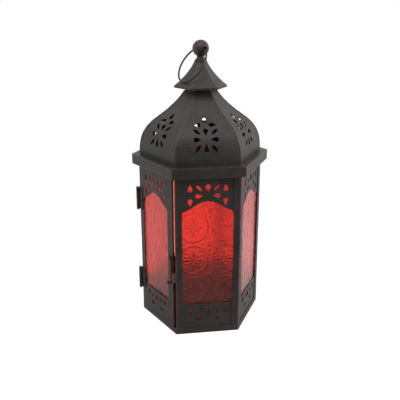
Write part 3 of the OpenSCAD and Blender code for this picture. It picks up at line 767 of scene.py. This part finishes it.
def lay_solder(name, runs, flow, material, **values):
    """Runs a solder tree along polylines and keeps the result as one plain mesh."""
    points = [point for run in runs for point in run]
    edges, start = [], 0
    for run in runs:
        edges += [(start + i, start + i + 1) for i in range(len(run) - 1)]
        start += len(run)
    mesh = bpy.data.meshes.new(name + "_lines")
    mesh.from_pydata(points, edges, [])
    carrier = bpy.data.objects.new(name + "_lines", mesh)
    bpy.context.scene.collection.objects.link(carrier)
    draw = carrier.modifiers.new("Solder", "NODES")
    draw.node_group = flow.tree
    for title, value in {**values, "Material": material}.items():
        draw[flow.keys[title]] = value
    seen = carrier.evaluated_get(bpy.context.evaluated_depsgraph_get())
    plain = bpy.data.meshes.new_from_object(seen)
    bpy.data.objects.remove(carrier)
    settle(plain_mesh(name, outward(plain), material, CAST_ANGLE), "lantern", "frame_metal")


def ridge_run(node, turn):
    """The points of the seam at a gore's right edge, on its outer face, from the bottom up."""
    mesh = frame["nodes"][node].data
    angle, corner = math.radians(turn), math.radians(turn + HALF_SIDE)
    out = Vector((math.cos(angle), math.sin(angle), OUT_RISE))
    across = Vector((-math.sin(corner), math.cos(corner), 0))
    found = set()
    for face in mesh.polygons:
        if abs(face.normal.dot(across)) > MITRED_END or face.normal.dot(out) < OUTER_FACE:
            continue
        ends = [mesh.vertices[v].co for v in face.vertices]
        ends = [end for end in ends if abs(end.dot(across)) < ON_SEAM]
        if len(ends) == 2:
            found |= {tuple(round(c, 6) for c in end) for end in ends}
    return sorted(found, key=lambda point: point[2])


def rim_loop(node, inset, rise):
    """A closed line round the top of a node, set in from its edge and raised above it."""
    points = node_points(node)
    top = points[:, 2].max()
    rim = points[points[:, 2] > top - TOUCH]
    radius = np.hypot(rim[:, 0], rim[:, 1]).max() - inset
    steps = 4 * SIDES
    turns = [math.tau * step / steps for step in range(steps + 1)]
    return [(radius * math.cos(turn), radius * math.sin(turn), top + rise) for turn in turns]


def slot_run(node):
    """The middle line of the slot in the latch post's face, sunk behind the face."""
    points = node_points(node)
    face = points[points[:, 1] < points[:, 1].min() + TOUCH]
    levels = face[:, 2].round(5)
    # The highest level is the top of the face, and the next two are the slot's edges
    low, high = np.unique(levels)[-3:-1]
    left, right = np.sort(face[levels == low][:, 0])[[0, -1]]
    sunk, middle = face[0, 1] + high - low, (low + high) / 2
    return [(x, sunk, middle) for x in (left, (left + right) / 2, right)]


# Stage

# Each lamp's name, place, width and share of the set power, and the point that both face
LAMPS = (
    ("overhead_softbox", (-0.22, -0.45, 0.9), 0.7, 1.0),
    ("right_softbox", (0.75, -0.25, 0.45), 0.5, 1.2),
)
LAMP_AIM = Vector((0, 0, 0.13))
# Toward the part of the room behind the camera, which mirrors dark
DARK_TOWARD = (-0.1, -0.97, -0.22)
FLOOR_TONES = ((0.33, 0.33, 0.33), (0.37, 0.37, 0.37))


def lay_floor(studio):
    """A round floor that looks pale from the camera and keeps the lantern's shadow."""
    bm = bmesh.new()
    bmesh.ops.create_circle(bm, cap_ends=True, segments=96, radius=studio.floor_reach)
    material, bench, shader = begin_material("Pale Floor")
    place = bench.node("ShaderNodeTexCoord").outputs["Object"]
    bench.feed(shader.inputs["Base Color"], bench.blend(bench.noise(place, 40.0), *FLOOR_TONES))
    shader.inputs["Roughness"].default_value = 0.85
    shader.inputs["Specular IOR Level"].default_value = 0.1
    path = bench.node("ShaderNodeLightPath").outputs
    split = bench.node("ShaderNodeSeparateXYZ")
    bench.feed(split.inputs[0], place)
    # What the lantern mirrors of the floor is bright beyond it and dark toward the camera
    beyond = bench.math("MULTIPLY", bench.ramp(split.outputs[1], -0.2, 0.12), 0.9)
    mirrored = bench.math("MULTIPLY", path["Is Glossy Ray"], beyond)
    seen = bench.math("MAXIMUM", mirrored, path["Is Transmission Ray"])
    seen = bench.math("MAXIMUM", path["Is Camera Ray"], seen)
    glow = bench.node("ShaderNodeEmission")
    bench.feed(glow.inputs["Strength"], bench.math("MULTIPLY", seen, 0.85))
    both = bench.node("ShaderNodeAddShader")
    bench.feed(both.inputs[0], shader.outputs[0])
    bench.feed(both.inputs[1], glow.outputs[0])
    out = next(node for node in material.node_tree.nodes if node.type == "OUTPUT_MATERIAL")
    bench.feed(out.inputs["Surface"], both.outputs[0])
    plain_mesh("pale_floor", bm, material)


def whiten_room(scene, studio):
    """A room that looks white, gives even light, and mirrors dark behind the camera."""
    world = bpy.data.worlds.new("White Room")
    scene.world = world
    world.use_nodes = True
    world.node_tree.nodes.clear()
    bench = Bench(world.node_tree)
    path = bench.node("ShaderNodeLightPath").outputs
    seen = bench.math("MAXIMUM", path["Is Glossy Ray"], path["Is Transmission Ray"])
    seen = bench.math("MAXIMUM", path["Is Camera Ray"], seen)
    toward = bench.node("ShaderNodeVectorMath", operation="DOT_PRODUCT")
    bench.feed(toward.inputs[0], bench.node("ShaderNodeTexCoord").outputs["Generated"])
    toward.inputs[1].default_value = DARK_TOWARD
    dim = bench.ramp(toward.outputs["Value"], 0.25, 0.85, 0.0, studio.dark_side)
    dim = bench.math("MULTIPLY", dim, path["Is Glossy Ray"])
    level = bench.math("ADD", studio.fill, bench.math("MULTIPLY", seen, 1.0 - studio.fill))
    room = bench.node("ShaderNodeBackground")
    room.inputs[0].default_value = (1, 1, 1, 1)
    bench.feed(room.inputs[1], bench.math("MULTIPLY", level, bench.math("SUBTRACT", 1.0, dim)))
    bench.feed(bench.node("ShaderNodeOutputWorld").inputs[0], room.outputs[0])


def hang(scene, data, place, toward):
    """Places a lamp or camera so that it looks along a direction."""
    holder = bpy.data.objects.new(data.name, data)
    holder.location = place
    holder.rotation_euler = toward.to_track_quat("-Z", "Y").to_euler()
    scene.collection.objects.link(holder)
    return holder


def hang_lamps(scene, studio):
    """Soft round lamps that face the lantern."""
    for name, place, width, share in LAMPS:
        lamp = bpy.data.lights.new(name, "AREA")
        lamp.shape, lamp.size, lamp.energy = "DISK", width, studio.key * share
        hang(scene, lamp, place, LAMP_AIM - Vector(place))


def set_camera(scene, studio):
    """The camera, as it was fitted to the photograph's view."""
    camera = bpy.data.cameras.new("lantern_view")
    camera.sensor_fit, camera.sensor_width = "HORIZONTAL", 36.0
    camera.lens, camera.shift_y = studio.lens, studio.rise
    camera.clip_start, camera.clip_end = 0.01, 20.0
    level = math.cos(studio.pitch)
    ahead = Vector((math.sin(studio.yaw) * level, math.cos(studio.yaw) * level, math.sin(studio.pitch)))
    scene.camera = hang(scene, camera, studio.eye, ahead)


# Operators

class FANOUS_OT_studio(bpy.types.Operator):
    """Sets up the floor, the white room, the soft lamps and the camera"""
    bl_idname = "fanous.studio"
    bl_label = "Studio"
    bl_options = {"REGISTER", "UNDO"}

    def execute(self, context):
        scene = context.scene
        studio = scene.fanous_studio
        scene.view_settings.view_transform = "Standard"
        lay_floor(studio)
        whiten_room(scene, studio)
        hang_lamps(scene, studio)
        set_camera(scene, studio)
        return {"FINISHED"}


class FANOUS_OT_body(bpy.types.Operator):
    """Dresses the pan, corner posts, top rail and the five fixed pierced panels"""
    bl_idname = "fanous.body"
    bl_label = "Tin Body"
    bl_options = {"REGISTER", "UNDO"}

    def execute(self, context):
        for node in frame["nodes"]:
            if node == "base_pan":
                folded(node, painted_tin("Painted Pan"), "frame_metal")
            elif node.startswith("post_") or node == "top_rail":
                folded(node, painted_tin("Painted Posts"), "frame_metal")
            elif node.startswith("panel_"):
                folded(node, painted_tin("Painted Panels"), "frame_metal", PIERCED_BEND)
        return {"FINISHED"}


class FANOUS_OT_panes(bpy.types.Operator):
    """Presses the rings and flowers into the six red panes"""
    bl_idname = "fanous.panes"
    bl_label = "Pressed Glass"
    bl_options = {"REGISTER", "UNDO"}

    def execute(self, context):
        glass = context.scene.fanous_glass
        for number, (side, turn) in enumerate(FACE_TURN.items()):
            node = "door_glass" if side == "door" else "glass_" + side
            shift = (GAP_ALONG - glass.pitch_across / 2 + SHIFT_ALONG * number,
                     GAP_UP - glass.pitch_up / 2 + SHIFT_UP * number)
            ink, streaks = (STREAKED_INK, 1.0) if side in STREAKED else (1.0, 0.0)
            pane(node, turn, shift, ink, streaks)
        return {"FINISHED"}


class FANOUS_OT_door(bpy.types.Operator):
    """Dresses the door's pierced sheet and its two hinges"""
    bl_idname = "fanous.door"
    bl_label = "Door and Hinges"
    bl_options = {"REGISTER", "UNDO"}

    def execute(self, context):
        folded("door_panel", painted_tin("Painted Door"), "frame_metal", PIERCED_BEND)
        for node in frame["nodes"]:
            if node.startswith("hinge_") and node.endswith("_leaf"):
                folded(node, painted_tin("Painted Hinges"), "frame_metal", LEAF_BEND)
            elif node.startswith("hinge_"):
                folded(node, plated_steel("Plated Steel"), "fixings", PIERCED_BEND)
        return {"FINISHED"}


class FANOUS_OT_latch(bpy.types.Operator):
    """Dresses the turning latch, its rivet and its keeper"""
    bl_idname = "fanous.latch"
    bl_label = "Latch"
    bl_options = {"REGISTER", "UNDO"}

    def execute(self, context):
        worn = painted_tin("Worn Latch")
        folded("latch_lever", worn, "latch_metal", LEVER_BEND)
        folded("latch_keeper", worn, "latch_metal", LEAF_BEND)
        folded("latch_rivet", worn, "fixings", LEVER_BEND)
        return {"FINISHED"}


class FANOUS_OT_roof(bpy.types.Operator):
    """Dresses the skirt, the six pierced gores and the plate on top of them"""
    bl_idname = "fanous.roof"
    bl_label = "Roof"
    bl_options = {"REGISTER", "UNDO"}

    def execute(self, context):
        folded("roof_skirt", painted_tin("Painted Skirt"), "frame_metal")
        for node in frame["nodes"]:
            if node.startswith("dome_gore_"):
                folded(node, painted_tin("Painted Dome"), "frame_metal", PIERCED_BEND)
        folded("dome_top_plate", painted_tin("Painted Dome"), "frame_metal")
        return {"FINISHED"}


class FANOUS_OT_solder(bpy.types.Operator):
    """Lays solder on the dome's seams and foot, in the latch post's slot and under the finial"""
    bl_idname = "fanous.solder"
    bl_label = "Solder"
    bl_options = {"REGISTER", "UNDO"}

    def execute(self, context):
        bead = bead_flow()
        material = painted_tin("Painted Solder")
        seams = [ridge_run("dome_gore_" + side.replace("door", "front_left"), turn)
                 for side, turn in FACE_TURN.items()]
        lay_solder("dome_seam_solder", seams, bead, material,
                   Radius=0.00045, Step=0.0011, Unevenness=1.3, Seed=3.0)
        lay_solder("post_slot_solder", [slot_run("post_front_left")], bead, material,
                   Radius=0.0006, Step=0.0011, Unevenness=0.2, Seed=5.0)
        foot = [rim_loop("cap", inset, rise) for inset, rise in FOOT_BEADS]
        lay_solder("finial_foot_solder", foot, bead, material,
                   Radius=0.0012, Step=0.0014, Unevenness=0.5, Seed=9.0)
        corners_round = [seam[0] for seam in seams] + [seams[0][0]]
        lay_solder("dome_foot_tacks", [corners_round], tack_flow(), material,
                   Pitch=0.0143, Width=0.0017, Seed=7)
        return {"FINISHED"}


class FANOUS_OT_crown(bpy.types.Operator):
    """Dresses the cap, finial, washer, nut, spacer tube and hanging ring"""
    bl_idname = "fanous.crown"
    bl_label = "Cap, Finial and Ring"
    bl_options = {"REGISTER", "UNDO"}

    def execute(self, context):
        folded("cap", painted_tin("Painted Cap"), "cap_metal")
        folded("finial", painted_tin("Painted Finial"), "cap_metal", NO_BEND)
        for node in ("finial_washer", "finial_nut", "spacer_tube"):
            folded(node, plated_steel("Plated Steel"), "fixings")
        folded("hanging_ring", painted_tin("Black Wire"), "ring_wire", NO_BEND)
        return {"FINISHED"}


class FANOUS_OT_dish(bpy.types.Operator):
    """Dresses the candle dish"""
    bl_idname = "fanous.dish"
    bl_label = "Candle Dish"
    bl_options = {"REGISTER", "UNDO"}

    def execute(self, context):
        folded("candle_dish", painted_tin("Painted Dish"), "dish_metal", PIERCED_BEND)
        return {"FINISHED"}


STEPS = (FANOUS_OT_studio, FANOUS_OT_body, FANOUS_OT_panes, FANOUS_OT_door, FANOUS_OT_latch,
         FANOUS_OT_roof, FANOUS_OT_solder, FANOUS_OT_crown, FANOUS_OT_dish)
GROUPS = {"fanous_paint": FanousPaint, "fanous_glass": FanousGlass, "fanous_studio": FanousStudio}


class FANOUS_PT_sidebar(bpy.types.Panel):
    """Lists the lantern's settings and steps"""
    bl_idname = "FANOUS_PT_sidebar"
    bl_label = "Fanous Lantern"
    bl_space_type = "VIEW_3D"
    bl_region_type = "UI"
    bl_category = "Fanous"

    def draw(self, context):
        for group in GROUPS:
            settings = getattr(context.scene, group)
            column = self.layout.column(align=True)
            for name in settings.__annotations__:
                column.prop(settings, name)
        for step in STEPS:
            self.layout.operator(step.bl_idname)


CLASSES = (*GROUPS.values(), *STEPS, FANOUS_PT_sidebar)


def register():
    """Adds the settings, the steps and the panel."""
    for cls in CLASSES:
        bpy.utils.register_class(cls)
    for name, group in GROUPS.items():
        setattr(bpy.types.Scene, name, bpy.props.PointerProperty(type=group))


def unregister():
    """Takes the settings, the steps and the panel away."""
    for name in GROUPS:
        delattr(bpy.types.Scene, name)
    for cls in reversed(CLASSES):
        bpy.utils.unregister_class(cls)


def main():
    """Dresses the lantern step by step."""
    register()
    for step in STEPS:
        area, name = step.bl_idname.split(".")
        getattr(getattr(bpy.ops, area), name)()


if __name__ == "__main__":
    main()
